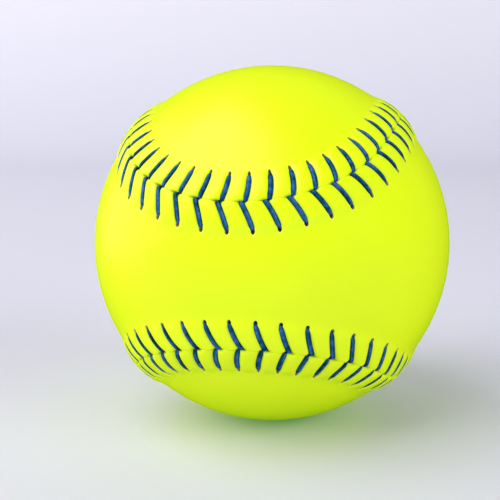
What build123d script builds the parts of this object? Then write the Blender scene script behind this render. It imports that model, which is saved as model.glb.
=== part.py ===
"""A twelve-inch softball: moulded core, cement coat, two sewn cover panels and two threads.

Millimetres. The origin is the ball's centre. Panel A's narrow waist faces -Y and its lobes
reach round towards +X and -X. Panel B is the same shape turned, with its waist at +Y and its
lobes at the top (+Z) and the bottom (-Z).
"""

import math
import os

from build123d import *

# The ball and the layers of its wall
CIRCUMFERENCE = 304.8
COVER = 1.8
CEMENT = 0.2

# The outline of a cover panel, measured along the surface from seam to seam
WAIST = 35.4
LOBE = 71.5

# The raised seam: distances from the seam along the surface, heights above the plain ball
WELT_HALF_WIDTH = 10.5
WELT_CREST = 2.6
WELT_HEIGHT = 1.4
WELT_EDGE_HEIGHT = 0.45
TOE_SLOPE = 0.1

# The stitches: distances along the seam, in the direction of sewing
STITCHES = 98
FIRST_STITCH = 0.45
SEWING_DRIFT = 1.05
LEG_STAGGER = 0.65
LEG_SLANT = 1.75
HOLE_STAGGER = -0.5
HOLE_DRIFT = 1.6

# How far the holes lie from the seam
HOLE_OFFSET = 6.6

# The waxed thread: spread flat where it lies on the cover, pinched where it goes through
LEG_WIDTH = 1.3
LEG_THICKNESS = 0.5
PINCH_WIDTH = 0.75
PINCH_THICKNESS = 0.5

# Room left for the thread: over the cover, in the seam, in the gutter under the cover, and in
# its holes, which the pull of the thread opens towards the seam
SEAT = 0.1
SEAM_CLEARANCE = 0.125
GUTTER_CLEARANCE = 0.15
HOLE_CLEARANCE = 0.1
HOLE_SLACK = 0.5

# Cutters run past the cover by this much
OVERRUN = 3.0

BALL_RADIUS = CIRCUMFERENCE / (2 * math.pi)
COVER_INSIDE = BALL_RADIUS - COVER
CORE_RADIUS = COVER_INSIDE - CEMENT
HALF_GAP = PINCH_THICKNESS / 2 + SEAM_CLEARANCE
GUTTER_DEPTH = PINCH_THICKNESS + 2 * GUTTER_CLEARANCE
HOLE_WIDTH = PINCH_WIDTH + 2 * HOLE_CLEARANCE
HOLE_LENGTH = PINCH_THICKNESS + 2 * HOLE_SLACK
GUTTER_HALF_WIDTH = HOLE_OFFSET + HOLE_LENGTH / 2 + GUTTER_CLEARANCE

# The seam lies on the ball as four lobe arcs joined by four great-circle runs, all tangent.
# waist_angle and lobe_angle are seen from the ball's centre.
waist_angle = WAIST / 2 / BALL_RADIUS
lobe_angle = LOBE / 2 / BALL_RADIUS
lobe_tilt = math.pi / 2 - waist_angle - lobe_angle
lobe_pole = Vector(math.cos(lobe_tilt), math.sin(lobe_tilt), 0)
swap_pole = Vector(1, 0, 1).normalized()


def run_pole():
    """The pole of the great circle that touches the lobe's arc and crosses the swap pole."""
    level = Vector(1, 0, -1).normalized()
    upright = Vector(0, 1, 0)
    across = lobe_pole.dot(level)
    up = lobe_pole.dot(upright)
    spread = math.acos(math.sin(lobe_angle) / math.hypot(across, up))
    turn = math.atan2(up, across) - spread
    return level * math.cos(turn) + upright * math.sin(turn)


touch = lobe_pole - run_pole() * math.sin(lobe_angle)
touch = touch.normalized()
tip_direction = Vector(-math.sin(lobe_tilt), math.cos(lobe_tilt), 0)
half_lobe_turn = math.atan2(touch.Z, touch.dot(tip_direction))
half_run_turn = math.acos(touch.dot(swap_pole))
LOBE_TURN = 2 * half_lobe_turn
RUN_TURN = 2 * half_run_turn


def turned(vector, axis, angle):
    """The vector turned about a unit axis through the ball's centre, by an angle in radians."""
    along_axis = axis * vector.dot(axis)
    return along_axis + (vector - along_axis) * math.cos(angle) + axis.cross(vector) * math.sin(angle)


class Stretch:
    """One arc of the seam, with its axis, turn and length, and the frame at its start."""

    def __init__(self, out, along, kind, share):
        side = out.cross(along)
        if kind == "run":
            self.axis = side
            self.radius = BALL_RADIUS
            self.turn = RUN_TURN * share
        else:
            facing = 1 if kind == "lobe_a" else -1
            self.axis = out * (facing * math.cos(lobe_angle)) + side * math.sin(lobe_angle)
            self.radius = BALL_RADIUS * math.sin(lobe_angle)
            self.turn = LOBE_TURN * share
        self.out = out
        self.along = along
        self.length = self.turn * self.radius

    def frame(self, distance):
        """Directions out of the ball, along the seam and across it, towards panel A."""
        angle = distance / self.radius
        out = turned(self.out, self.axis, angle)
        along = turned(self.along, self.axis, angle)
        return out, along, out.cross(along)


# Half the seam, from the middle of panel A's waist below round its lobe to the middle above
HALF_SEAM = (("lobe_b", 0.5), ("run", 1), ("lobe_a", 1), ("run", 1), ("lobe_b", 0.5))


def seam_stretches():
    """The seam's arcs in order: the half on the +X side, then the half on the -X side."""
    out = Vector(0, -math.cos(waist_angle), -math.sin(waist_angle))
    along = Vector(1, 0, 0)
    stretches = []
    for kind, share in HALF_SEAM * 2:
        stretch = Stretch(out, along, kind, share)
        stretches.append(stretch)
        out, along, side = stretch.frame(stretch.length)
    return stretches


STRETCHES = seam_stretches()
PLUS_X_STRETCHES = STRETCHES[: len(HALF_SEAM)]
SEAM_LENGTH = sum(stretch.length for stretch in STRETCHES)
PITCH = SEAM_LENGTH / STITCHES


def seam_frame(distance):
    """The seam's frame at a distance from the lower middle of panel A's waist."""
    rest = distance % SEAM_LENGTH
    for stretch in STRETCHES:
        if rest <= stretch.length:
            return stretch.frame(rest)
        rest -= stretch.length
    return STRETCHES[0].frame(0)


def on_ball(distance, across, height):
    """A point beside the seam: along it, across towards panel A, and above the plain ball."""
    out, along, side = seam_frame(distance)
    angle = across / BALL_RADIUS
    return (out * math.cos(angle) + side * math.sin(angle)) * (BALL_RADIUS + height)


# The welt's section is a roll at the panel's edge, a crest, and a slope that eases into the ball
roll_width = WELT_CREST - HALF_GAP
roll_drop = WELT_HEIGHT - WELT_EDGE_HEIGHT
roll_radius = (roll_width**2 + roll_drop**2) / (2 * roll_drop)
slope_width = WELT_HALF_WIDTH - WELT_CREST
slope_middle = WELT_CREST + slope_width / 2
steepest = 2 * WELT_HEIGHT / slope_width - TOE_SLOPE / 2


def welt_height(across):
    """Height of the cover above the plain ball, at a distance from the seam on either side."""
    across = abs(across)
    if across < WELT_CREST:
        away = min(WELT_CREST - across, roll_width)
        return WELT_HEIGHT - roll_radius + math.sqrt(roll_radius**2 - away**2)
    if across < slope_middle:
        return WELT_HEIGHT - steepest / slope_width * (across - WELT_CREST) ** 2
    short = max(WELT_HALF_WIDTH - across, 0)
    return TOE_SLOPE * short + (steepest - TOE_SLOPE) / slope_width * short**2


def section_point(across, height):
    """A point of the seam's cross-section, in the plane that the section is drawn in."""
    angle = across / BALL_RADIUS
    reach = BALL_RADIUS + height
    return (reach * math.sin(angle), reach * math.cos(angle) - BALL_RADIUS)


def round_stretch(face, stretch):
    """Turn a cross-section along one arc of the seam."""
    plane = Plane(
        origin=stretch.out * BALL_RADIUS,
        x_dir=stretch.out.cross(stretch.along),
        z_dir=stretch.along,
    )
    return revolve(plane * face, Axis((0, 0, 0), stretch.axis), math.degrees(stretch.turn))


def welt_section():
    """Section of panel A's sewn edge, with the gutter under it that the thread runs in."""

    def bow(start, end):
        middle = (start + end) / 2
        corners = [(across, welt_height(across)) for across in (start, middle, end)]
        return ThreePointArc(*[section_point(*corner) for corner in corners])

    def level(start, end, height):
        return ThreePointArc(*[section_point(across, height) for across in (start, (start + end) / 2, end)])

    def straight(start, end):
        return Line(section_point(*start), section_point(*end))

    roof = GUTTER_DEPTH - COVER
    return make_face(
        [
            bow(HALF_GAP, WELT_CREST),
            bow(WELT_CREST, slope_middle),
            bow(slope_middle, WELT_HALF_WIDTH),
            straight((WELT_HALF_WIDTH, 0), (WELT_HALF_WIDTH, -COVER)),
            straight((WELT_HALF_WIDTH, -COVER), (GUTTER_HALF_WIDTH, roof)),
            level(GUTTER_HALF_WIDTH, HALF_GAP, roof),
            straight((HALF_GAP, roof), (HALF_GAP, WELT_EDGE_HEIGHT)),
        ]
    )


def band_section():
    """Section of the whole band that the two welts take up, running past the cover."""
    low = -COVER - OVERRUN
    high = OVERRUN
    half = WELT_HALF_WIDTH
    corners = [section_point(*c) for c in ((-half, low), (half, low), (half, high), (-half, high))]
    return make_face(Polyline(*corners, close=True))


def half_crown():
    """The plain part of panel A inside its welt, on the +X side."""
    outside = ThreePointArc((0, -BALL_RADIUS), (BALL_RADIUS, 0), (0, BALL_RADIUS))
    inside = ThreePointArc((0, COVER_INSIDE), (COVER_INSIDE, 0), (0, -COVER_INSIDE))
    top = Line(outside @ 1, inside @ 0)
    bottom = Line(inside @ 1, outside @ 0)
    wall = Plane.YZ * make_face([outside, top, inside, bottom])
    shell = revolve(wall, Axis.Z, -180)
    band = [round_stretch(band_section(), stretch) for stretch in PLUS_X_STRETCHES]
    pieces = shell - band
    return min(pieces.solids(), key=lambda piece: piece.center().Y)


def plain_panel():
    """Panel A before its holes are punched: two halves that a half turn about Y swaps."""
    welts = [round_stretch(welt_section(), stretch) for stretch in PLUS_X_STRETCHES]
    half = half_crown() + welts
    return half + half.rotate(Axis.Y, 180)


def stitch_place(index):
    """Where stitch number index crosses the seam: evenly spaced, with the sewer's slow drift."""
    drift = SEWING_DRIFT * (1 - math.cos(2 * math.pi * index / STITCHES))
    return FIRST_STITCH + PITCH * index - drift


def hole_place(index, panel):
    """How far along the seam a stitch's hole lies. The two rows drift apart and back round the
    lobes. panel is 1 for A and -1 for B."""
    place = stitch_place(index)
    shift = HOLE_STAGGER - HOLE_DRIFT * math.sin(4 * math.pi * place / SEAM_LENGTH)
    return place - LEG_SLANT + panel * shift / 2


def stitch_hole(index, panel):
    """A cutter for one hole, square to the ball and long across the seam."""
    place = hole_place(index, panel)
    out, along, side = seam_frame(place)
    up = on_ball(place, panel * HOLE_OFFSET, 0).normalized()
    plane = Plane(origin=up * (COVER_INSIDE - OVERRUN), x_dir=along.cross(up), z_dir=up)
    return extrude(plane * SlotOverall(HOLE_LENGTH, HOLE_WIDTH), COVER + 2 * OVERRUN)


def cover_panel(blank, panel):
    """One cover panel: the blank with its row of holes."""
    return blank - [stitch_hole(index, panel) for index in range(STITCHES)]


def thread_stops(index, panel):
    """The stops of one stitch: up its hole, over the welt, down the seam and under the other
    panel. Each stop is a place along the seam, a distance across, a height and a flag that is
    true where the thread lies flat."""
    hole = hole_place(index, panel)
    dive = stitch_place(index) + panel * LEG_STAGGER
    next_hole = hole_place(index + 1, -panel)
    under = GUTTER_DEPTH / 2 - COVER
    lie = SEAT + LEG_THICKNESS / 2
    stops = [
        (hole, panel * HOLE_OFFSET, under, False),
        (hole, panel * HOLE_OFFSET, welt_height(HOLE_OFFSET) + lie, False),
    ]
    for across in ((HOLE_OFFSET + WELT_CREST) / 2, WELT_CREST, (WELT_CREST + HALF_GAP) / 2):
        place = dive + (hole - dive) * across / HOLE_OFFSET
        stops.append((place, panel * across, welt_height(across) + lie, True))
    stops.append((dive, 0, WELT_EDGE_HEIGHT + lie, False))
    stops.append((dive, 0, under, False))
    stops.append(((dive + next_hole) / 2, -panel * HOLE_OFFSET / 2, under, False))
    return stops


def tape_section(before, here, after, along, flat):
    """Four corners of the thread's section at a stop, on the plane that halves its bend."""
    arriving = (here - before).normalized()
    leaving = (after - here).normalized()
    forward = (arriving + leaving).normalized()
    broad = (along - forward * along.dot(forward)).normalized()
    thick = forward.cross(broad) * (1 / forward.dot(arriving))
    half_broad = broad * ((LEG_WIDTH if flat else PINCH_WIDTH) / 2)
    half_thick = thick * ((LEG_THICKNESS if flat else PINCH_THICKNESS) / 2)
    return [
        here + half_broad + half_thick,
        here - half_broad + half_thick,
        here - half_broad - half_thick,
        here + half_broad - half_thick,
    ]


def tape(stops):
    """One flat thread through the stops, cut square at both ends."""
    points = [on_ball(place, across, height) for place, across, height, flat in stops]
    points.insert(0, points[0] * 2 - points[1])
    points.append(points[-1] * 2 - points[-2])
    sections = []
    for number, (place, across, height, flat) in enumerate(stops):
        along = seam_frame(place)[1]
        sections.append(tape_section(*points[number : number + 3], along, flat))
    faces = [Face(Wire.make_polygon(sections[0])), Face(Wire.make_polygon(sections[-1]))]
    for near, far in zip(sections, sections[1:]):
        for corner in range(len(near)):
            near_edge = Edge.make_line(near[corner - 1], near[corner])
            far_edge = Edge.make_line(far[corner - 1], far[corner])
            faces.append(Face.make_surface_from_curves(near_edge, far_edge))
    return Solid(Shell(faces))


def thread(first_panel):
    """One needle's thread, right round the ball: first on one panel, then on the other. Its
    two ends stay under the cover."""
    stops = []
    for index in range(STITCHES):
        panel = first_panel if index % 2 == 0 else -first_panel
        stops += thread_stops(index, panel)
    return tape(stops)


def main():
    os.makedirs("parts", exist_ok=True)
    blank = plain_panel()
    swapped_blank = blank.rotate(Axis((0, 0, 0), swap_pole), 180)
    parts = {
        "core": Sphere(CORE_RADIUS),
        "cement_coat": Sphere(COVER_INSIDE) - Sphere(CORE_RADIUS),
        "cover_panel_a": cover_panel(blank, 1),
        "cover_panel_b": cover_panel(swapped_blank, -1),
        "first_thread": thread(1),
        "second_thread": thread(-1),
    }
    for name, part in parts.items():
        export_step(part, f"parts/{name}.step")


if __name__ == "__main__":
    main()
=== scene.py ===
"""A twelve-inch softball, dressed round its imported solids. Metres, +Z up, centre at the origin."""

import math

import bpy
import numpy as np
from mathutils import Matrix, Vector


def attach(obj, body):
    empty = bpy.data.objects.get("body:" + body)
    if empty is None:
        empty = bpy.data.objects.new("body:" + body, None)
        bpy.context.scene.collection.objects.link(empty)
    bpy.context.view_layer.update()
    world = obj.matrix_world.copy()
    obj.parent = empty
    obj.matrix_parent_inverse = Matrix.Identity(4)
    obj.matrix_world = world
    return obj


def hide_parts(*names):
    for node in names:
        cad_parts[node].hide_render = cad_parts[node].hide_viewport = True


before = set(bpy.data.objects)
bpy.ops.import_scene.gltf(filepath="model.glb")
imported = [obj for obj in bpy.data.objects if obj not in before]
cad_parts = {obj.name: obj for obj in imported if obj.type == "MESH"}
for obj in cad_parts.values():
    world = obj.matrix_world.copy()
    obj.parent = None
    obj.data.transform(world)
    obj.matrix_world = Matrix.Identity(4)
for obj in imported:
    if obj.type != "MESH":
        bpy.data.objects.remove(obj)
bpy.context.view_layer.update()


# CORE
# A solid ball of polyurethane, poured into a mould. It is hard, pale tan and dull, with a skin of
# fine pores where the foam met the mould. The cover is glued and sewn round it.

mm = 0.001


def new_material(name):
    """An empty node material with a Principled shader, returned with its tree and the shader."""
    material = bpy.data.materials.new(name)
    material.use_nodes = True
    tree = material.node_tree
    tree.nodes.clear()
    shader = tree.nodes.new("ShaderNodeBsdfPrincipled")
    output = tree.nodes.new("ShaderNodeOutputMaterial")
    tree.links.new(shader.outputs["BSDF"], output.inputs["Surface"])
    return material, tree, shader


def fine_grain_group():
    """Colour cloud and pore height, shared by every finish on the ball."""
    group = bpy.data.node_groups.new("fine_grain", "ShaderNodeTree")
    group.interface.new_socket("Vector", in_out="INPUT", socket_type="NodeSocketVector")
    group.interface.new_socket("Cloud Scale", in_out="INPUT", socket_type="NodeSocketFloat")
    group.interface.new_socket("Pore Scale", in_out="INPUT", socket_type="NodeSocketFloat")
    group.interface.new_socket("Cloud", in_out="OUTPUT", socket_type="NodeSocketFloat")
    group.interface.new_socket("Pores", in_out="OUTPUT", socket_type="NodeSocketFloat")
    group_in = group.nodes.new("NodeGroupInput")
    group_out = group.nodes.new("NodeGroupOutput")
    cloud = group.nodes.new("ShaderNodeTexNoise")
    cloud.inputs["Detail"].default_value = 4
    pores = group.nodes.new("ShaderNodeTexVoronoi")
    pores.feature = "F1"
    fuzz = group.nodes.new("ShaderNodeTexNoise")
    fuzz.inputs["Detail"].default_value = 3
    both = group.nodes.new("ShaderNodeMath")
    both.operation = "MULTIPLY"
    for texture in (cloud, pores, fuzz):
        group.links.new(group_in.outputs["Vector"], texture.inputs["Vector"])
    group.links.new(group_in.outputs["Cloud Scale"], cloud.inputs["Scale"])
    group.links.new(group_in.outputs["Pore Scale"], pores.inputs["Scale"])
    group.links.new(group_in.outputs["Pore Scale"], fuzz.inputs["Scale"])
    group.links.new(pores.outputs["Distance"], both.inputs[0])
    group.links.new(fuzz.outputs["Fac"], both.inputs[1])
    group.links.new(cloud.outputs["Fac"], group_out.inputs["Cloud"])
    group.links.new(both.outputs["Value"], group_out.inputs["Pores"])
    return group


fine_grain = fine_grain_group()


def grain_of(tree, cloud_scale, pore_scale):
    """The shared grain on the ball's own coordinates."""
    place = tree.nodes.new("ShaderNodeTexCoord")
    grain = tree.nodes.new("ShaderNodeGroup")
    grain.node_tree = fine_grain
    grain.inputs["Cloud Scale"].default_value = cloud_scale
    grain.inputs["Pore Scale"].default_value = pore_scale
    tree.links.new(place.outputs["Object"], grain.inputs["Vector"])
    return grain


def ramp_of(tree, source, stops):
    """A colour ramp fed by a value: stops are (position, (r, g, b))."""
    ramp = tree.nodes.new("ShaderNodeValToRGB")
    while len(ramp.color_ramp.elements) < len(stops):
        ramp.color_ramp.elements.new(0.5)
    for element, (position, colour) in zip(ramp.color_ramp.elements, stops):
        element.position = position
        element.color = (*colour, 1)
    tree.links.new(source, ramp.inputs["Fac"])
    return ramp.outputs["Color"]


def range_of(tree, source, low, high):
    """A value spread between two limits."""
    spread = tree.nodes.new("ShaderNodeMapRange")
    spread.inputs["To Min"].default_value = low
    spread.inputs["To Max"].default_value = high
    tree.links.new(source, spread.inputs["Value"])
    return spread.outputs["Result"]


def bump_of(tree, shader, height, strength, depth):
    """Bump on a shader's normal."""
    bump = tree.nodes.new("ShaderNodeBump")
    bump.inputs["Strength"].default_value = strength
    bump.inputs["Distance"].default_value = depth
    tree.links.new(height, bump.inputs["Height"])
    tree.links.new(bump.outputs["Normal"], shader.inputs["Normal"])


foam_dark = (0.5, 0.4, 0.24)
foam_pale = (0.66, 0.56, 0.38)

foam, foam_tree, foam_shader = new_material("core_foam")
foam_grain = grain_of(foam_tree, cloud_scale=60, pore_scale=900)
foam_colour = ramp_of(foam_tree, foam_grain.outputs["Cloud"], ((0.3, foam_dark), (0.7, foam_pale)))
foam_tree.links.new(foam_colour, foam_shader.inputs["Base Color"])
foam_rough = range_of(foam_tree, foam_grain.outputs["Pores"], low=0.75, high=0.95)
foam_tree.links.new(foam_rough, foam_shader.inputs["Roughness"])
bump_of(foam_tree, foam_shader, foam_grain.outputs["Pores"], strength=0.5, depth=0.3 * mm)

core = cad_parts["core"]
core.data.materials.clear()
core.data.materials.append(foam)


# CEMENT COAT
# Contact adhesive brushed over the core and left to go tacky before the cover is laid on. It dries
# amber and dull, thicker where the brush marks overlap.

cement_thick = (0.2, 0.13, 0.045)
cement_thin = (0.4, 0.28, 0.11)

cement, cement_tree, cement_shader = new_material("brushed_cement")
cement_grain = grain_of(cement_tree, cloud_scale=110, pore_scale=500)
cement_stops = ((0.3, cement_thick), (0.7, cement_thin))
cement_colour = ramp_of(cement_tree, cement_grain.outputs["Cloud"], cement_stops)
cement_tree.links.new(cement_colour, cement_shader.inputs["Base Color"])
cement_rough = range_of(cement_tree, cement_grain.outputs["Cloud"], low=0.45, high=0.7)
cement_tree.links.new(cement_rough, cement_shader.inputs["Roughness"])
bump_of(cement_tree, cement_shader, cement_grain.outputs["Cloud"], strength=0.6, depth=0.2 * mm)

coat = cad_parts["cement_coat"]
coat.data.materials.clear()
coat.data.materials.append(cement)


# COVER PANELS
# Two panels of optic yellow synthetic leather, cut to the same figure of eight, punched along the
# edge, wrapped over the core and drawn together. The sewn edges stand up in a soft raised seam
# that puffs out between the stitches and is pressed in under each one.

ball_radius = 304.8 * mm / (2 * math.pi)
cover_thickness = 1.8 * mm
waist_angle = 35.4 * mm / 2 / ball_radius
lobe_angle = 71.5 * mm / 2 / ball_radius

# The seam is four lobe arcs joined by four great-circle runs
lobe_tilt = math.pi / 2 - waist_angle - lobe_angle
lobe_pole = np.array((math.cos(lobe_tilt), math.sin(lobe_tilt), 0))
swap_pole = np.array((1, 0, 1)) / math.sqrt(2)
level = np.array((1, 0, -1)) / math.sqrt(2)
upright = np.array((0, 1, 0))
pole_reach = math.hypot(lobe_pole @ level, lobe_pole @ upright)
pole_lean = math.atan2(lobe_pole @ upright, lobe_pole @ level)
run_lean = pole_lean - math.acos(math.sin(lobe_angle) / pole_reach)
run_pole = level * math.cos(run_lean) + upright * math.sin(run_lean)
touch = lobe_pole - run_pole * math.sin(lobe_angle)
touch /= np.linalg.norm(touch)
lobe_end = np.array((-math.sin(lobe_tilt), math.cos(lobe_tilt), 0))
lobe_turn = 2 * math.atan2(touch[2], touch @ lobe_end)
run_turn = 2 * math.acos(touch @ swap_pole)


def turned(vector, axis, angle):
    """Vectors turned about unit axes through the ball's centre."""
    angle = angle[..., None]
    on_axis = axis * np.sum(vector * axis, -1, keepdims=True)
    return on_axis + (vector - on_axis) * np.cos(angle) + np.cross(axis, vector) * np.sin(angle)


class Seam:
    """The line where the panels meet, measured from the lower middle of the front waist."""

    def __init__(self):
        out = np.array((0, -math.cos(waist_angle), -math.sin(waist_angle)))
        along = np.array((1.0, 0, 0))
        rows = []
        half = (("back_lobe", 0.5), ("run", 1), ("front_lobe", 1), ("run", 1), ("back_lobe", 0.5))
        for kind, share in half * 2:
            side = np.cross(out, along)
            axis = side
            radius = ball_radius
            turn = run_turn * share
            if kind != "run":
                facing = 1 if kind == "front_lobe" else -1
                axis = out * facing * math.cos(lobe_angle) + side * math.sin(lobe_angle)
                radius = ball_radius * math.sin(lobe_angle)
                turn = lobe_turn * share
            rows.append((out, along, axis, radius, turn * radius))
            end = np.array(turn)
            out, along = turned(out, axis, end), turned(along, axis, end)
        columns = (np.array(column) for column in zip(*rows))
        self.out, self.along, self.axis, self.radius, lengths = columns
        self.starts = np.concatenate(((0,), np.cumsum(lengths)[:-1]))
        self.length = lengths.sum()

    def frame(self, distance):
        """Unit vectors out of the ball, along the seam and across it, towards the front panel."""
        rest = np.mod(distance, self.length)
        arc = np.searchsorted(self.starts, rest, "right") - 1
        angle = (rest - self.starts[arc]) / self.radius[arc]
        out = turned(self.out[arc], self.axis[arc], angle)
        along = turned(self.along[arc], self.axis[arc], angle)
        return out, along, np.cross(out, along)

    def point(self, distance, across, height):
        """A point by the seam: along it, across towards the front panel, above the plain ball."""
        out, along, side = self.frame(distance)
        angle = (across / ball_radius)[..., None]
        return (out * np.cos(angle) + side * np.sin(angle)) * (ball_radius + height)[..., None]


seam = Seam()

# Stitch places, in the direction of sewing. side is 1 on the front panel and -1 on the back one.
stitches = 98
pitch = seam.length / stitches
first_stitch = 0.45 * mm
pace_drift = 1.05 * mm
dive_spread = 0.5 * mm
hole_offset = 6.6 * mm
hole_lag = 1.75 * mm
hole_skew = 0.5 * mm
hole_swing = 1.6 * mm
leg_bow = 1.3 * mm


def stitch_place(index):
    """Where a stitch lies along the seam. The pace of the sewing drifts once round the ball."""
    drift = pace_drift * (1 - np.cos(2 * math.pi * index / stitches))
    return first_stitch + pitch * index - drift


# Hand sewing: no two stitches fall quite alike, in the place of their holes or in their width
sewing_seed = 12
hole_wander = 0.1 * mm
width_spread = 0.05
hand = np.random.default_rng(sewing_seed)
wander = hand.normal(0, hole_wander, (2, stitches))
fullness = hand.normal(1, width_spread, (2, stitches))


def dive_place(index, side):
    """Where a leg dives into the seam."""
    return stitch_place(index) + side * dive_spread


def hole_place(index, side):
    """Where a leg comes up through its hole. The panels slip past each other round the lobes."""
    place = stitch_place(index)
    shift = -hole_skew - hole_swing * np.sin(4 * math.pi * place / seam.length)
    return place - hole_lag + side * shift / 2 + wander[(side + 1) // 2, np.mod(index, stitches)]


def leg_line(index, side, across):
    """How far along the seam a stitch's leg lies, at a distance from the seam. The legs bow."""
    reach = np.clip(across / hole_offset, 0, 1)
    start = dive_place(index, side)
    return start + (hole_place(index, side) - start) * reach - leg_bow * reach * (1 - reach)


def smooth(value, low, high):
    """0 below low, 1 above high, with an easy change between."""
    share = np.clip((value - low) / (high - low), 0, 1)
    return share * share * (3 - 2 * share)


# The raised edge and the valley inside its crest, the crease where the panels meet, the channel
# under a leg, deeper near the seam, the pit where a thread dives, and the puff between stitches
welt_height = 1.12 * mm
welt_crest = 2.6 * mm
welt_toe = 10.0 * mm
valley_depth = 0.035 * mm
crease_depth = 0.05 * mm
crease_width = 0.13 * mm
channel_depth = 0.3 * mm
channel_width = 0.95 * mm
deep_channel_depth = 0.55 * mm
deep_channel_reach = 0.6 * mm
pit_depth = 0.7 * mm
pit_length = 0.5 * mm
pit_width = 0.45 * mm
puff_height = 0.36 * mm
sewn_start = 5.6 * mm
sewn_end = 8.2 * mm


def seam_height(across, leg_gap, far_gap):
    """Height of the cover above the plain ball. across is the distance from the seam, leg_gap from
    the nearest leg on this panel, and far_gap, along the seam, from the nearest leg that dives in
    from the other panel."""
    outer = np.clip(1 - (across / welt_toe) ** 2, 0, 1) ** 2
    valley = valley_depth * np.clip(1 - across / welt_crest, 0, 1) ** 2
    crease = crease_depth * np.exp(-((across / crease_width) ** 2))
    under_leg = np.exp(-((leg_gap / channel_width) ** 2))
    sewn = 1 - smooth(across, sewn_start, sewn_end)
    depth = channel_depth + deep_channel_depth * np.exp(-across / deep_channel_reach)
    channel = depth * under_leg * sewn
    pit = pit_depth * np.exp(-((far_gap / pit_length) ** 2) - (across / pit_width) ** 2)
    puff = puff_height * (1 - under_leg) * sewn
    return welt_height * outer - valley - crease - channel - pit + puff


# Lines of the mesh: across the seam in millimetres from it, and along it in shares of a stitch
across_lines = (
    np.array(
        (0.02, 0.1, 0.22, 0.45, 0.8, 1.3, 1.9, 2.5, 3.1, 3.8, 4.5, 5.1)
        + (5.5, 5.8, 6.1, 6.4, 6.7, 7.0, 7.3, 7.6, 7.9)
        + (8.4, 9.1, 9.9, 10.8)
    )
    * mm
)
stitch_shares = np.array((0, 0.05, 0.1, 0.15, 0.24, 0.36, 0.5, 0.64, 0.76, 0.85, 0.9, 0.95))
hole_first_line = 12
hole_last_line = 20
hole_columns = 3
hole_half_width = 0.42 * mm
hole_half_length = 0.85 * mm
hole_middle = 6.75 * mm
notch_length = 0.75 * mm
notch_width = 0.26 * mm
rib_steps = 12

# Rings of a hole: share of the way in to its edge, millimetres sunk, how cut, which also paints
# shade on the hole wall, and how much painted highlight lies on its lip
hole_rings = (
    (0.55, 0.0, 0.0, 0.0),
    (0.88, 0.0, 0.0, 0.8),
    (1.0, 0.14, 0.7, 0.7),
    (1.05, 0.9, 1.0, 0.0),
)


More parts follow.
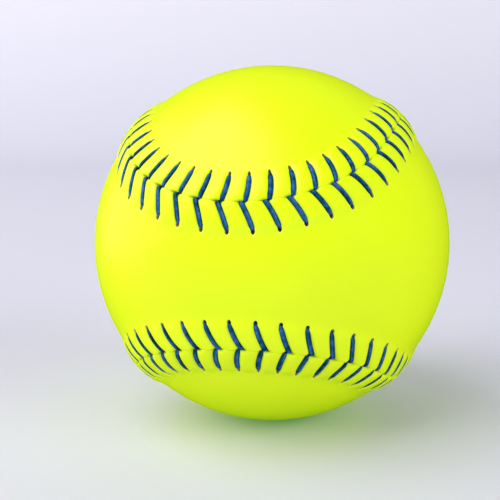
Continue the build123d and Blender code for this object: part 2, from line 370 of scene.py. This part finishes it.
def panel_sheet(side):
    """Outer sheet of one panel: points, faces, and how far each point is cut (with painted shade),
    lit by a painted lip highlight, or notched (with painted shade).
    """
    columns = len(stitch_shares)
    lines = len(across_lines)
    count = stitches * columns
    index = np.repeat(np.arange(stitches), columns)[:, None]
    share = np.tile(stitch_shares, stitches)[:, None]
    across = np.broadcast_to(across_lines, (count, lines))
    here = leg_line(index, side, across)
    following = leg_line(index + 1, side, across)
    place = here + (following - here) * share
    leg_gap = np.minimum(share, 1 - share) * (following - here)
    far_legs = [np.abs(place - dive_place(index + step, -side)) for step in (-1, 0, 1)]
    height = seam_height(across, leg_gap, np.minimum.reduce(far_legs))
    points = [seam.point(place, side * across, height).reshape(-1, 3)]
    notch_gap = np.minimum(leg_gap, np.minimum.reduce(far_legs))
    notch = np.exp(-((notch_gap / notch_length) ** 2) - (across / notch_width) ** 2)
    notched = [notch.reshape(-1)]
    cut = [np.zeros(count * lines)]
    lip_highlight = [np.zeros(count * lines)]
    number = np.arange(count * lines).reshape(count, lines)
    faces = []

    # The plain cells of the sewn edge, leaving a window round each hole
    open_cell = np.zeros((count, lines - 1), bool)
    for shift in range(-hole_columns, hole_columns):
        open_cell[shift % columns :: columns, hole_first_line:hole_last_line] = True
    after = np.roll(number, -1, 0)
    cells = np.stack((number[:, :-1], after[:, :-1], after[:, 1:], number[:, 1:]), -1)
    faces.append(cells[~open_cell])

    # Rings from each window in to the oval hole and down its wall
    steps = np.arange(-hole_columns, hole_columns + 1)
    rows = np.arange(hole_first_line, hole_last_line + 1)
    up, down = np.full(len(rows) - 1, steps[-1]), np.full(len(rows) - 2, steps[0])
    out, home = np.full(len(steps), rows[0]), np.full(len(steps) - 1, rows[-1])
    ring_column = np.concatenate((steps, up, steps[-2::-1], down))
    ring_line = np.concatenate((out, rows[1:], home, rows[-2:0:-1]))
    base = (np.arange(stitches) * columns)[:, None]
    ring = number[(base + ring_column) % count, ring_line]
    ring_share = stitch_shares[ring_column]
    window_place = np.where(ring_column < 0, ring_share - 1, ring_share) * pitch
    window_across = across_lines[ring_line]
    window_rise = (window_across - hole_middle) / hole_half_length
    angle = np.arctan2(window_rise, window_place / hole_half_width)
    oval_place = hole_half_width * np.cos(angle)
    oval_across = hole_middle + hole_half_length * np.sin(angle)
    hole = hole_place(np.arange(stitches), side)[:, None]
    added = count * lines
    ring_shape = (stitches, len(angle))
    ring_points = stitches * len(angle)
    for inwards, sunk, mark_tone, pale in hole_rings:
        ring_place = window_place + (oval_place - window_place) * inwards
        ring_across = window_across + (oval_across - window_across) * inwards
        high = seam_height(ring_across, np.abs(ring_place), pitch) - sunk * mm
        spot = seam.point(
            hole + ring_place,
            np.broadcast_to(side * ring_across, ring_shape),
            np.broadcast_to(high, ring_shape),
        )
        points.append(spot.reshape(-1, 3))
        # The cut mark also paints shade down the hole wall
        cut.append(np.full(ring_points, mark_tone))
        # Painted highlight on the lip at the outer end of each hole
        lip_highlight.append(np.tile(pale * np.clip(np.sin(angle), 0, 1) ** 3, stitches))
        notched.append(np.zeros(ring_points))
        inner = added + np.arange(ring_points).reshape(ring_shape)
        added += ring_points
        band = np.stack((ring, np.roll(ring, -1, 1), np.roll(inner, -1, 1), inner), -1)
        faces.append(band.reshape(-1, 4))
        ring = inner

    # The plain crown: ribs of the ball across the panel, from one sewn edge to the other
    rim = number[:, -1]
    rim_place = place[:, -1]
    half_seam = seam.length / 2
    mirror = half_seam if side > 0 else 0
    away = np.abs(np.mod(rim_place + rim_place[0] - mirror + half_seam, seam.length) - half_seam)
    partner_sum = 2 * (int(np.argmin(away)) // 2)
    rib_count = count // 2 + 1
    first = (partner_sum // 2 + np.arange(rib_count)) % count
    second = (partner_sum // 2 - np.arange(rib_count)) % count
    rim_out = points[0][rim] / np.linalg.norm(points[0][rim], axis=1, keepdims=True)
    near, far = rim_out[first], rim_out[second]
    spread = np.arccos(np.clip(np.sum(near * far, 1), -1, 1))[:, None]
    wide = np.maximum(np.sin(spread), 1e-9)
    ribs = [rim[first]]
    for step in range(1, rib_steps):
        part = step / rib_steps
        spot = (near * np.sin((1 - part) * spread) + far * np.sin(part * spread)) / wide
        points.append(spot[1:-1] * ball_radius)
        for mark in (cut, lip_highlight, notched):
            mark.append(np.zeros(rib_count - 2))
        inside = added + np.arange(rib_count - 2)
        added += rib_count - 2
        ribs.append(np.concatenate((rim[first[:1]], inside, rim[first[-1:]])))
    ribs.append(rim[second])
    for one, other in zip(ribs, ribs[1:]):
        faces.append(np.stack((one[:-1], one[1:], other[1:], other[:-1]), -1))

    marks = {"cut_edge_and_shade": cut, "lip_highlight": lip_highlight, "notched": notched}
    marks = {name: np.concatenate(mark) for name, mark in marks.items()}
    return np.concatenate(points), np.concatenate(faces), marks


def panel_mesh(name, side):
    """One panel as closed leather: the outer sheet, the glued inside and the cut edges."""
    points, faces, marks = panel_sheet(side)
    if side < 0:
        faces = faces[:, ::-1]
    used = np.unique(faces)
    renumber = np.full(len(points), -1)
    renumber[used] = np.arange(len(used))
    points, faces = points[used], renumber[faces]
    glued_radius = ball_radius - cover_thickness
    inside = points / np.linalg.norm(points, axis=1, keepdims=True) * glued_radius
    edges = np.concatenate([faces[:, [corner, (corner + 1) % 4]] for corner in range(4)])
    edges = edges[edges[:, 0] != edges[:, 1]]
    key = np.sort(edges, 1) @ np.array((len(points), 1))
    _, where, times = np.unique(key, return_index=True, return_counts=True)
    rim = edges[where[times == 1]]
    total = len(points)
    walls = np.stack((rim[:, 1], rim[:, 0], rim[:, 0] + total, rim[:, 1] + total), -1)
    closed = np.concatenate((faces, faces[:, ::-1] + total, walls))
    mesh = bpy.data.meshes.new(name)
    polygons = [list(dict.fromkeys(face)) for face in closed.tolist()]
    mesh.from_pydata(np.concatenate((points, inside)).tolist(), [], polygons)
    mesh.validate()
    mesh.shade_smooth()
    for mark_name, mark in marks.items():
        inner_mark = np.full(total, 1.0 if mark_name == "cut_edge_and_shade" else 0.0)
        layer = mesh.attributes.new(mark_name, "FLOAT", "POINT")
        layer.data.foreach_set("value", np.append(mark[used], inner_mark).astype(np.float32))
    return mesh


# Optic yellow is a fluorescent dye, and the leather is given a little green glow of its own: partly
# that fluorescence, partly painted light that lightens the leather's shaded side
yellow_low, yellow_high = (0.77, 0.84, 0.0), (0.81, 0.88, 0.0)
painted_glow_low, painted_glow_high = (0.1, 0.97, 0.0), (0.14, 1.0, 0.0)
# Painted highlight colour for the lit lip at the outer end of each hole
lip_highlight_colour = (0.9, 0.88, 0.66)
# Cut walls and the glued side are dark brown: partly the backing's own colour, partly painted shade
# down the holes and seam edges. The holes also get a painted brown glow
cut_wall_and_shade, painted_hole_glow = (0.42, 0.31, 0.11), (0.3, 0.24, 0.05)
notch_shade, notch_glow = (0.1, 0.12, 0.03), (0.0, 0.0, 0.0)


def mix_of(tree, layer_name, plain, mark_tone):
    """A colour that changes to another where the mesh is marked."""
    layer = tree.nodes.new("ShaderNodeAttribute")
    layer.attribute_name = layer_name
    mix = tree.nodes.new("ShaderNodeMix")
    mix.data_type = "RGBA"
    mix.inputs["B"].default_value = (*mark_tone, 1)
    tree.links.new(layer.outputs["Fac"], mix.inputs["Factor"])
    tree.links.new(plain, mix.inputs["A"])
    return mix.outputs["Result"]


leather, leather_tree, leather_shader = new_material("optic_leather")
leather_grain = grain_of(leather_tree, cloud_scale=45, pore_scale=2600)
leather_cloud = leather_grain.outputs["Cloud"]
leather_pores = leather_grain.outputs["Pores"]
leather_colour = ramp_of(leather_tree, leather_cloud, ((0.25, yellow_low), (0.75, yellow_high)))
# Painted highlight on the hole lips, then painted shade on the cut walls and in the notches
leather_colour = mix_of(leather_tree, "lip_highlight", leather_colour, lip_highlight_colour)
leather_colour = mix_of(leather_tree, "cut_edge_and_shade", leather_colour, cut_wall_and_shade)
leather_colour = mix_of(leather_tree, "notched", leather_colour, notch_shade)
leather_tree.links.new(leather_colour, leather_shader.inputs["Base Color"])
# Painted glow: green over the leather, a painted brown glow on the cut walls, none in the notches
leather_painted_glow = ramp_of(leather_tree, leather_cloud, ((0.25, painted_glow_low), (0.75, painted_glow_high)))
leather_painted_glow = mix_of(leather_tree, "cut_edge_and_shade", leather_painted_glow, painted_hole_glow)
leather_painted_glow = mix_of(leather_tree, "notched", leather_painted_glow, notch_glow)
leather_tree.links.new(leather_painted_glow, leather_shader.inputs["Emission Color"])
leather_shader.inputs["Emission Strength"].default_value = 0.15
leather_rough = range_of(leather_tree, leather_pores, low=0.32, high=0.46)
leather_tree.links.new(leather_rough, leather_shader.inputs["Roughness"])
leather_shader.inputs["Specular IOR Level"].default_value = 0.55
bump_of(leather_tree, leather_shader, leather_pores, strength=0.25, depth=0.06 * mm)

for panel_name, node, side in (
    ("front_leather", "cover_panel_a", 1),
    ("back_leather", "cover_panel_b", -1),
):
    panel = bpy.data.objects.new(panel_name, panel_mesh(panel_name, side))
    bpy.context.scene.collection.objects.link(panel)
    panel.data.materials.append(leather)
    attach(panel, "root")
    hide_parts(node)


# SEWING THREADS
# Two lengths of flat waxed thread, deep blue, one on each needle. Each comes up a hole, lies over
# the raised edge, dives into the seam, runs under the other panel and comes up its next hole, so
# the pair leave a chevron at every stitch.

leg_width = 1.34 * mm
leg_thickness = 0.8 * mm

# One stitch as it is pulled tight: distance from the seam and height over the pressed cover, both
# in millimetres, and share of the full width. On the front panel the leg stays full up to the
# seam, and on the back panel it sinks in early.
leg_stops = ((6.1, -0.05, 0.42), (5.5, 0.12, 0.72), (4.6, 0.18, 0.98))
leg_stops += ((3.5, 0.2, 1.08), (2.4, 0.2, 1.06), (1.4, 0.22, 1.0))
front_ends = ((0.7, 0.28, 0.97), (0.2, 0.38, 0.88))
back_ends = ((0.7, 0.12, 0.86), (0.25, 0.0, 0.68))
front_dive_height = 0.35 * mm
back_dive_height = 0.15 * mm
hole_reach = 6.5 * mm


def thread_path(first_side):
    """Points, outward directions and widths of one needle's thread, right round the ball."""
    places, reaches, heights, widths = [], [], [], []

    def stop(place, reach, height, width):
        places.append(place)
        reaches.append(reach)
        heights.append(height)
        widths.append(width)

    for index in range(stitches):
        side = first_side if index % 2 == 0 else -first_side
        hole = float(hole_place(index, side))
        dive = float(dive_place(index, side))
        ends = front_ends if side > 0 else back_ends
        dive_height = front_dive_height if side > 0 else back_dive_height
        full = float(fullness[(side + 1) // 2, index])
        stop(hole, reach=side * hole_reach, height=-1.3 * mm, width=0.5)
        stop(hole, reach=side * hole_reach, height=-0.2 * mm, width=0.42)
        for across, lift, width in leg_stops + ends:
            across = across * mm
            place = float(leg_line(index, side, np.array(across)))
            cover = float(seam_height(np.array(across), 0.0, pitch))
            stop(place, reach=side * across, height=cover + lift * mm, width=width * full)
        stop(dive, reach=0.0, height=dive_height, width=0.58)
        stop(dive, reach=-side * 0.12 * mm, height=-0.6 * mm, width=0.5)
        stop(dive, reach=-side * 0.3 * mm, height=-1.35 * mm, width=0.6)
        middle = (dive + float(hole_place(index + 1, -side))) / 2
        stop(middle, reach=-side * hole_offset / 2, height=-1.4 * mm, width=0.6)
    places, reaches, heights = np.array(places), np.array(reaches), np.array(heights)
    points = seam.point(places, reaches, heights)
    return points, points / np.linalg.norm(points, axis=1, keepdims=True), np.array(widths)


def sewing_tree():
    """Lays a flat thread along a stitched path, with its length and girth kept for the weave."""
    tree = bpy.data.node_groups.new("flat_thread", "GeometryNodeTree")
    tree.interface.new_socket("Path", in_out="INPUT", socket_type="NodeSocketGeometry")
    tree.interface.new_socket("Width", in_out="INPUT", socket_type="NodeSocketFloat")
    tree.interface.new_socket("Thickness", in_out="INPUT", socket_type="NodeSocketFloat")
    tree.interface.new_socket("Steps", in_out="INPUT", socket_type="NodeSocketInt")
    tree.interface.new_socket("Sides", in_out="INPUT", socket_type="NodeSocketInt")
    tree.interface.new_socket("Material", in_out="INPUT", socket_type="NodeSocketMaterial")
    tree.interface.new_socket("Thread", in_out="OUTPUT", socket_type="NodeSocketGeometry")
    make = tree.nodes.new
    join = tree.links.new
    sizes = make("NodeGroupInput")
    done = make("NodeGroupOutput")
    path = make("GeometryNodeMeshToCurve")
    kind = make("GeometryNodeCurveSplineType")
    kind.spline_type = "CATMULL_ROM"
    steps = make("GeometryNodeSetSplineResolution")
    face_out = make("GeometryNodeSetCurveNormal")
    face_out.mode = "FREE"
    outward = make("GeometryNodeInputNamedAttribute")
    outward.data_type = "FLOAT_VECTOR"
    outward.inputs["Name"].default_value = "outward"
    spread = make("GeometryNodeInputNamedAttribute")
    spread.data_type = "FLOAT"
    spread.inputs["Name"].default_value = "spread"
    radius = make("GeometryNodeSetCurveRadius")
    length = make("GeometryNodeSplineParameter")
    keep_length = make("GeometryNodeCaptureAttribute")
    keep_length.capture_items.new("FLOAT", "Length")
    ring = make("GeometryNodeCurvePrimitiveCircle")
    ring.inputs["Radius"].default_value = 0.5
    flat = make("GeometryNodeTransform")
    shape = make("ShaderNodeCombineXYZ")
    shape.inputs["Z"].default_value = 1
    girth = make("GeometryNodeSplineParameter")
    keep_girth = make("GeometryNodeCaptureAttribute")
    keep_girth.capture_items.new("FLOAT", "Girth")
    tube = make("GeometryNodeCurveToMesh")
    tube.inputs["Fill Caps"].default_value = True
    lay = make("ShaderNodeCombineXYZ")
    weave = make("GeometryNodeStoreNamedAttribute")
    weave.data_type = "FLOAT_VECTOR"
    weave.domain = "POINT"
    weave.inputs["Name"].default_value = "weave"
    soft = make("GeometryNodeSetShadeSmooth")
    real = make("GeometryNodeRealizeInstances")
    paint = make("GeometryNodeSetMaterial")
    join(sizes.outputs["Path"], path.inputs["Mesh"])
    join(path.outputs["Curve"], kind.inputs["Curve"])
    join(kind.outputs["Curve"], steps.inputs["Geometry"])
    join(sizes.outputs["Steps"], steps.inputs["Resolution"])
    join(steps.outputs["Geometry"], face_out.inputs["Curve"])
    join(outward.outputs["Attribute"], face_out.inputs["Normal"])
    join(face_out.outputs["Curve"], radius.inputs["Curve"])
    join(spread.outputs["Attribute"], radius.inputs["Radius"])
    join(radius.outputs["Curve"], keep_length.inputs["Geometry"])
    join(length.outputs["Length"], keep_length.inputs["Length"])
    join(sizes.outputs["Sides"], ring.inputs["Resolution"])
    join(ring.outputs["Curve"], flat.inputs["Geometry"])
    join(sizes.outputs["Thickness"], shape.inputs["X"])
    join(sizes.outputs["Width"], shape.inputs["Y"])
    join(shape.outputs["Vector"], flat.inputs["Scale"])
    join(flat.outputs["Geometry"], keep_girth.inputs["Geometry"])
    join(girth.outputs["Factor"], keep_girth.inputs["Girth"])
    join(keep_length.outputs["Geometry"], tube.inputs["Curve"])
    join(keep_girth.outputs["Geometry"], tube.inputs["Profile Curve"])
    join(keep_length.outputs["Length"], lay.inputs["X"])
    join(keep_girth.outputs["Girth"], lay.inputs["Y"])
    join(tube.outputs["Mesh"], weave.inputs["Geometry"])
    join(lay.outputs["Vector"], weave.inputs["Value"])
    join(weave.outputs["Geometry"], soft.inputs["Geometry"])
    join(soft.outputs["Geometry"], real.inputs["Geometry"])
    join(real.outputs["Geometry"], paint.inputs["Geometry"])
    join(sizes.outputs["Material"], paint.inputs["Material"])
    join(paint.outputs["Geometry"], done.inputs["Thread"])
    return tree


flat_thread = sewing_tree()

blue_deep = (0.0005, 0.02, 0.05)
blue_plain = (0.0005, 0.115, 0.32)
blue_rubbed = (0.07, 0.15, 0.52)
fibre_scale = (1500, 26, 1)
fibre_slant = 0.02
fibre_share = 0.55
edge_painted_shade = -0.24

waxed, waxed_tree, waxed_shader = new_material("waxed_thread")
weave_place = waxed_tree.nodes.new("ShaderNodeAttribute")
weave_place.attribute_name = "weave"
fibre_stretch = waxed_tree.nodes.new("ShaderNodeMapping")
fibre_stretch.inputs["Scale"].default_value = fibre_scale
fibre_stretch.inputs["Rotation"].default_value = (0, 0, fibre_slant)
fibres = waxed_tree.nodes.new("ShaderNodeTexNoise")
fibres.inputs["Scale"].default_value = 1
fibres.inputs["Detail"].default_value = 4
waxed_tree.links.new(weave_place.outputs["Vector"], fibre_stretch.inputs["Vector"])
waxed_tree.links.new(fibre_stretch.outputs["Vector"], fibres.inputs["Vector"])

# Its tone changes with the fibres, in blotches, and slowly along its length
waxed_grain = grain_of(waxed_tree, cloud_scale=700, pore_scale=3000)
waxed_tone = waxed_tree.nodes.new("ShaderNodeMath")
waxed_tone.operation = "MULTIPLY_ADD"
waxed_tone.inputs[1].default_value = fibre_share
waxed_blotch = range_of(waxed_tree, waxed_grain.outputs["Cloud"], low=0.0, high=0.45)
waxed_length = grain_of(waxed_tree, cloud_scale=130, pore_scale=3000)
waxed_drift = waxed_tree.nodes.new("ShaderNodeMath")
waxed_drift.operation = "ADD"
waxed_slow = range_of(waxed_tree, waxed_length.outputs["Cloud"], low=-0.15, high=0.15)
waxed_tree.links.new(waxed_blotch, waxed_drift.inputs[0])
waxed_tree.links.new(waxed_slow, waxed_drift.inputs[1])
waxed_tree.links.new(fibres.outputs["Fac"], waxed_tone.inputs[0])
waxed_tree.links.new(waxed_drift.outputs["Value"], waxed_tone.inputs[2])

# The thread is painted darker along its two edges: painted shade where its rounded sides turn from
# the light and sit in the pressed channel
girth_of = waxed_tree.nodes.new("ShaderNodeSeparateXYZ")
waxed_tree.links.new(weave_place.outputs["Vector"], girth_of.inputs["Vector"])
round_girth = waxed_tree.nodes.new("ShaderNodeMath")
round_girth.operation = "MULTIPLY"
round_girth.inputs[1].default_value = 2 * math.pi
edge_wave = waxed_tree.nodes.new("ShaderNodeMath")
edge_wave.operation = "SINE"
edge_share = waxed_tree.nodes.new("ShaderNodeMath")
edge_share.operation = "POWER"
edge_share.inputs[1].default_value = 4
edge_tone = waxed_tree.nodes.new("ShaderNodeMath")
edge_tone.operation = "MULTIPLY_ADD"
edge_tone.inputs[1].default_value = edge_painted_shade
waxed_tree.links.new(girth_of.outputs["Y"], round_girth.inputs[0])
waxed_tree.links.new(round_girth.outputs["Value"], edge_wave.inputs[0])
waxed_tree.links.new(edge_wave.outputs["Value"], edge_share.inputs[0])
waxed_tree.links.new(edge_share.outputs["Value"], edge_tone.inputs[0])
waxed_tree.links.new(waxed_tone.outputs["Value"], edge_tone.inputs[2])
waxed_stops = ((0.36, blue_deep), (0.49, blue_plain), (0.6, blue_rubbed))
waxed_colour = ramp_of(waxed_tree, edge_tone.outputs["Value"], waxed_stops)
waxed_tree.links.new(waxed_colour, waxed_shader.inputs["Base Color"])
waxed_shader.inputs["Specular IOR Level"].default_value = 0.1
waxed_rough = range_of(waxed_tree, fibres.outputs["Fac"], low=0.35, high=0.6)
waxed_tree.links.new(waxed_rough, waxed_shader.inputs["Roughness"])
bump_of(waxed_tree, waxed_shader, fibres.outputs["Fac"], strength=0.5, depth=0.08 * mm)

thread_sizes = {
    "Width": leg_width,
    "Thickness": leg_thickness,
    "Steps": 3,
    "Sides": 10,
    "Material": waxed,
}

for thread_name, node, first_side in (
    ("first_sewing", "first_thread", 1),
    ("second_sewing", "second_thread", -1),
):
    points, outward, widths = thread_path(first_side)
    path = bpy.data.meshes.new(thread_name)
    path.from_pydata(points.tolist(), [(step, step + 1) for step in range(len(points) - 1)], [])
    outward_layer = path.attributes.new("outward", "FLOAT_VECTOR", "POINT")
    outward_layer.data.foreach_set("vector", outward.astype(np.float32).ravel())
    spread_layer = path.attributes.new("spread", "FLOAT", "POINT")
    spread_layer.data.foreach_set("value", widths.astype(np.float32))
    thread = bpy.data.objects.new(thread_name, path)
    bpy.context.scene.collection.objects.link(thread)
    sewing = thread.modifiers.new("sewing", "NODES")
    sewing.node_group = flat_thread
    for item in flat_thread.interface.items_tree:
        if item.in_out == "INPUT" and item.name in thread_sizes:
            sewing[item.identifier] = thread_sizes[item.name]
    sewn = thread.evaluated_get(bpy.context.evaluated_depsgraph_get())
    mesh = bpy.data.meshes.new_from_object(sewn)
    thread.modifiers.remove(sewing)
    thread.data = mesh
    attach(thread, "root")
    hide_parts(node)


# FLOOR, LIGHT AND CAMERA
# A pale sweep of paper under and behind the ball, a large soft window high on the left with a side
# light and a low light under it, a fill light on the right, and a camera a little above the ball's
# middle.

# The paper is painted paler up the wall than on the floor: painted light for the brighter lit
# backdrop
floor_grey = (0.67, 0.675, 0.78)
wall_grey = (0.88, 0.83, 0.91)

paper, paper_tree, paper_shader = new_material("pale_paper")
paper_place = paper_tree.nodes.new("ShaderNodeTexCoord")
paper_height = paper_tree.nodes.new("ShaderNodeSeparateXYZ")
paper_tree.links.new(paper_place.outputs["Object"], paper_height.inputs["Vector"])
paper_colour = ramp_of(paper_tree, paper_height.outputs["Z"], ((0.0, floor_grey), (0.5, wall_grey)))
paper_tree.links.new(paper_colour, paper_shader.inputs["Base Color"])
paper_shader.inputs["Roughness"].default_value = 0.7

sweep_front, bend_start, wall_place = -1.2, 0.7, 1.2
bend_radius = 0.5
bend_steps = 12
wall_top = 2.0
sweep_half_width = 2.0
sweep_profile = [(sweep_front, 0.0), (bend_start, 0.0)]
for step in range(1, bend_steps + 1):
    bend = math.pi / 2 * step / bend_steps
    bend_place = bend_start + bend_radius * math.sin(bend)
    sweep_profile.append((bend_place, bend_radius - bend_radius * math.cos(bend)))
sweep_profile.append((wall_place, wall_top))
sweep_sides = (-sweep_half_width, sweep_half_width)
sweep_points = [(x, y, z - ball_radius) for y, z in sweep_profile for x in sweep_sides]
sweep_rows = range(0, 2 * len(sweep_profile) - 2, 2)
sweep_faces = [(row, row + 1, row + 3, row + 2) for row in sweep_rows]
sweep_mesh = bpy.data.meshes.new("paper_sweep")
sweep_mesh.from_pydata(sweep_points, [], sweep_faces)
sweep_mesh.shade_smooth()
sweep = bpy.data.objects.new("paper_sweep", sweep_mesh)
bpy.context.scene.collection.objects.link(sweep)
sweep_mesh.materials.append(paper)
sweep.visible_glossy = False

lamp_white = (1.0, 0.99, 0.97)

for light_name, place, size, power, shines in (
    ("window_light", (-1.0, -0.7, 1.6), 2.2, 31.0, True),
    ("side_light", (-1.6, 0.2, 0.5), 1.6, 7.0, True),
    ("low_light", (-1.6, -1.0, 0.4), 0.7, 13.0, False),
    ("fill_light", (1.9, -0.9, 0.7), 1.3, 26.0, False),
):
    lamp = bpy.data.lights.new(light_name, "AREA")
    lamp.shape = "SQUARE"
    lamp.size = size
    lamp.energy = power
    lamp.color = lamp_white
    light = bpy.data.objects.new(light_name, lamp)
    bpy.context.scene.collection.objects.link(light)
    light.visible_glossy = shines
    light.location = place
    light.rotation_mode = "QUATERNION"
    light.rotation_quaternion = (-Vector(place)).to_track_quat("-Z", "Y")

# The room lights the ball softly, and is paler where it is seen past the paper
room_light = 0.34
room_seen = 0.8
room = bpy.data.worlds.new("pale_room")
bpy.context.scene.world = room
room.use_nodes = True
room_tree = room.node_tree
room_air = room_tree.nodes["Background"]
room_air.inputs["Color"].default_value = (0.9, 0.92, 0.95, 1)
room_ray = room_tree.nodes.new("ShaderNodeLightPath")
room_ray_seen = room_ray.outputs["Is Camera Ray"]
room_strength = range_of(room_tree, room_ray_seen, low=room_light, high=room_seen)
room_tree.links.new(room_strength, room_air.inputs["Strength"])
room.cycles_visibility.glossy = False
bpy.context.scene.view_settings.view_transform = "Standard"

azimuth = math.radians(10.4)
elevation = math.radians(9.85)
tilt = math.radians(-0.9)
camera_distance = 5.8
level_reach = math.cos(elevation)
back = Vector(
    (math.sin(azimuth) * level_reach, -math.cos(azimuth) * level_reach, math.sin(elevation))
)
lens = bpy.data.cameras.new("camera")
lens.lens = 73.06
lens.sensor_width = 36
lens.shift_x = -0.0444
lens.shift_y = -0.0145
lens.clip_start = 0.01
camera = bpy.data.objects.new("camera", lens)
bpy.context.scene.collection.objects.link(camera)
camera.rotation_mode = "QUATERNION"
camera.location = back * camera_distance * ball_radius
roll = Matrix.Rotation(tilt, 3, "Z").to_quaternion()
camera.rotation_quaternion = (-back).to_track_quat("-Z", "Y") @ roll
bpy.context.scene.camera = camera
